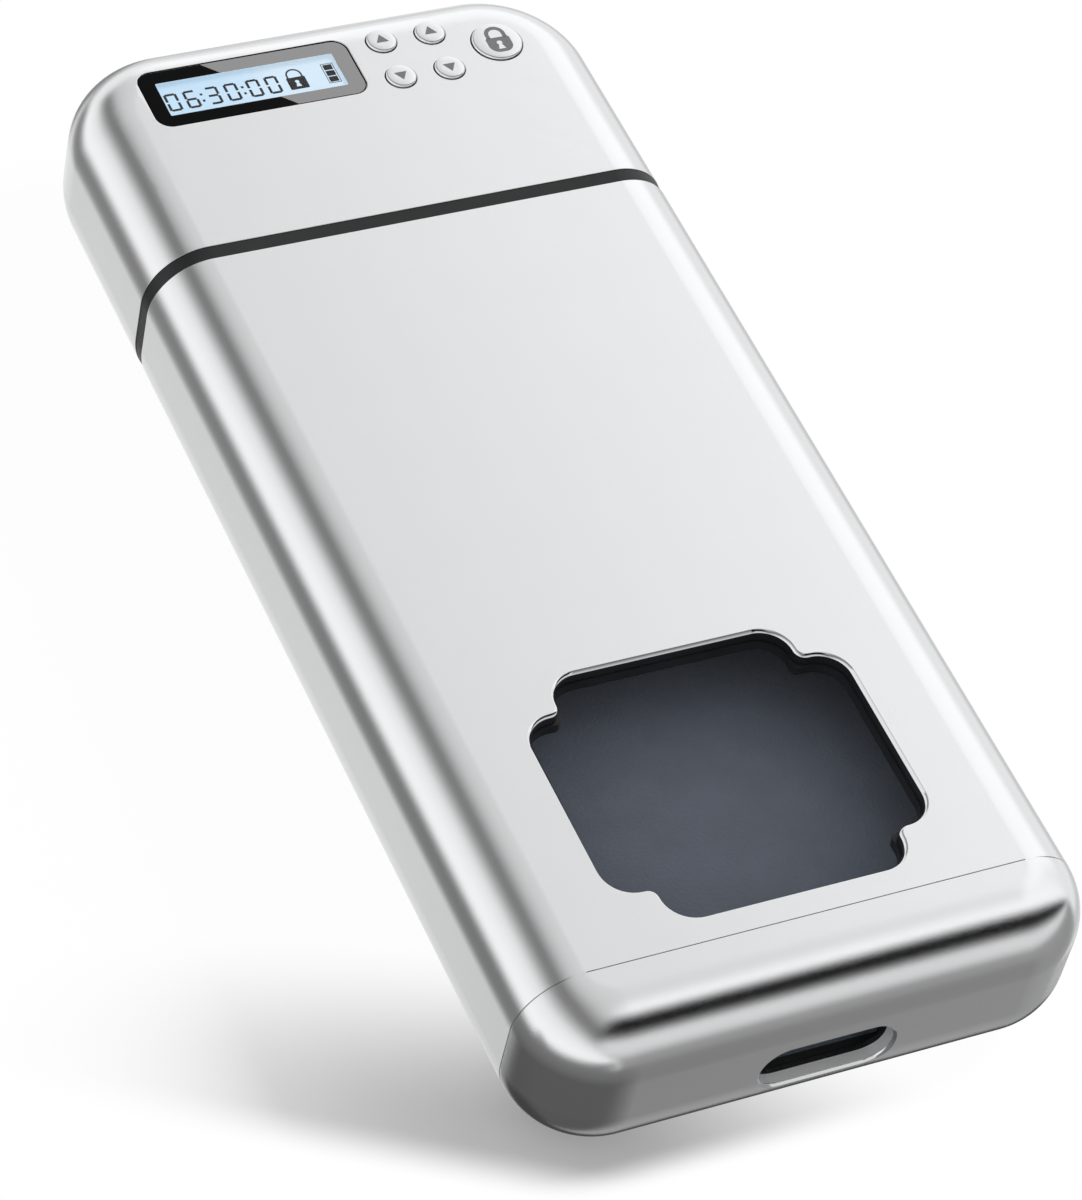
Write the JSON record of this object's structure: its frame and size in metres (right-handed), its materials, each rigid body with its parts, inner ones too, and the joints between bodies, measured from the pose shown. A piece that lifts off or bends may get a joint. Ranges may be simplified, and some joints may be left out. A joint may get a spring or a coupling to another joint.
{
  "type": "timed lock container",
  "caption": "Flat free-standing box with a viewing window and a charging slot, closed by a pull-off head with a countdown display, setting buttons and a motor-driven double bolt.",
  "frame": {"origin": "middle of the back face, in the plane that the container lies on", "axes": "+X to the right across the width, +Y from the foot with the charging slot to the lock head, +Z from the back out of the front with the window and the display"},
  "size_m": [0.09, 0.207, 0.0305],
  "materials": {
    "silver_metal": "bead-blasted satin",
    "black_plastic": "fine matt",
    "frame_plastic": "matt",
    "slate_foam": "soft foam",
    "lens_black": "polished",
    "lcd_blue": "lit glass",
    "light_guide": "clear",
    "grey_rubber": "soft",
    "board_green": "lacquered",
    "chip_black": "moulded",
    "screw_steel": "plated",
    "bolt_steel": "ground",
    "motor_steel": "nickel",
    "gear_brass": "brass",
    "cell_foil": "laminated foil"
  },
  "bodies": {
    "container": {"sleeve": "silver_metal", "end_cap": "silver_metal", "inner_liner": "black_plastic", "back_pad": "slate_foam", "end_bumper": "slate_foam", "end_cap_screws": "screw_steel"},
    "head": {"head_shell": "silver_metal", "display_lens": "lens_black", "lcd_frame": "black_plastic", "lcd_panel": "lcd_blue", "lcd_backlight": "light_guide", "lcd_connectors": "grey_rubber", "main_board": "board_green", "board_components": "chip_black", "tact_switches": "chip_black", "board_screws": "screw_steel", "bulkhead": "black_plastic", "bulkhead_screws": "screw_steel", "drive_frame": "frame_plastic", "frame_screws": "screw_steel", "gearbox": "gear_brass", "motor": "motor_steel", "motor_screws": "screw_steel", "battery_cell": "cell_foil", "charge_board": "board_green", "charge_socket": "motor_steel", "sounder": "chip_black", "charge_board_screws": "screw_steel"},
    "hours_up": {"hours_up_button": "silver_metal"},
    "hours_down": {"hours_down_button": "silver_metal"},
    "minutes_up": {"minutes_up_button": "silver_metal"},
    "minutes_down": {"minutes_down_button": "silver_metal"},
    "lock_key": {"lock_button": "silver_metal"},
    "pinion": {"motor_shaft": "bolt_steel", "pinion_gear": "gear_brass"},
    "left_bolt_body": {"left_bolt": "bolt_steel"},
    "right_bolt_body": {"right_bolt": "bolt_steel"}
  },
  "joints": [
    {"name": "head_pull", "type": "slide", "parent": "container", "child": "head", "axis": [0, 1, 0], "range_m": [0, 0.03]},
    {"name": "hours_up_press", "type": "slide", "parent": "head", "child": "hours_up", "axis": [0, 0, -1], "range_m": [0, 0.00035], "stiffness_N_per_m": 1500, "springref_m": -0.0005},
    {"name": "hours_down_press", "type": "slide", "parent": "head", "child": "hours_down", "axis": [0, 0, -1], "range_m": [0, 0.00035], "stiffness_N_per_m": 1500, "springref_m": -0.0005},
    {"name": "minutes_up_press", "type": "slide", "parent": "head", "child": "minutes_up", "axis": [0, 0, -1], "range_m": [0, 0.00035], "stiffness_N_per_m": 1500, "springref_m": -0.0005},
    {"name": "minutes_down_press", "type": "slide", "parent": "head", "child": "minutes_down", "axis": [0, 0, -1], "range_m": [0, 0.00035], "stiffness_N_per_m": 1500, "springref_m": -0.0005},
    {"name": "lock_press", "type": "slide", "parent": "head", "child": "lock_key", "axis": [0, 0, -1], "range_m": [0, 0.00035], "stiffness_N_per_m": 2000, "springref_m": -0.0005},
    {"name": "right_bolt_throw", "type": "slide", "parent": "head", "child": "right_bolt_body", "axis": [1, 0, 0], "range_m": [0, 0.004]},
    {"name": "left_bolt_throw", "type": "slide", "parent": "head", "child": "left_bolt_body", "axis": [-1, 0, 0], "range_m": [0, 0.004]},
    {"name": "pinion_turn", "type": "hinge", "parent": "head", "child": "pinion", "pos_m": [0, 0.0705, 0.013], "axis": [0, 1, 0], "range_deg": [0, 76.5]}
  ],
  "couplings": [
    {"joint": "pinion_turn", "follows": "right_bolt_throw", "rad_per_m": 333.33},
    {"joint": "left_bolt_throw", "follows": "right_bolt_throw", "ratio": 1}
  ]
}
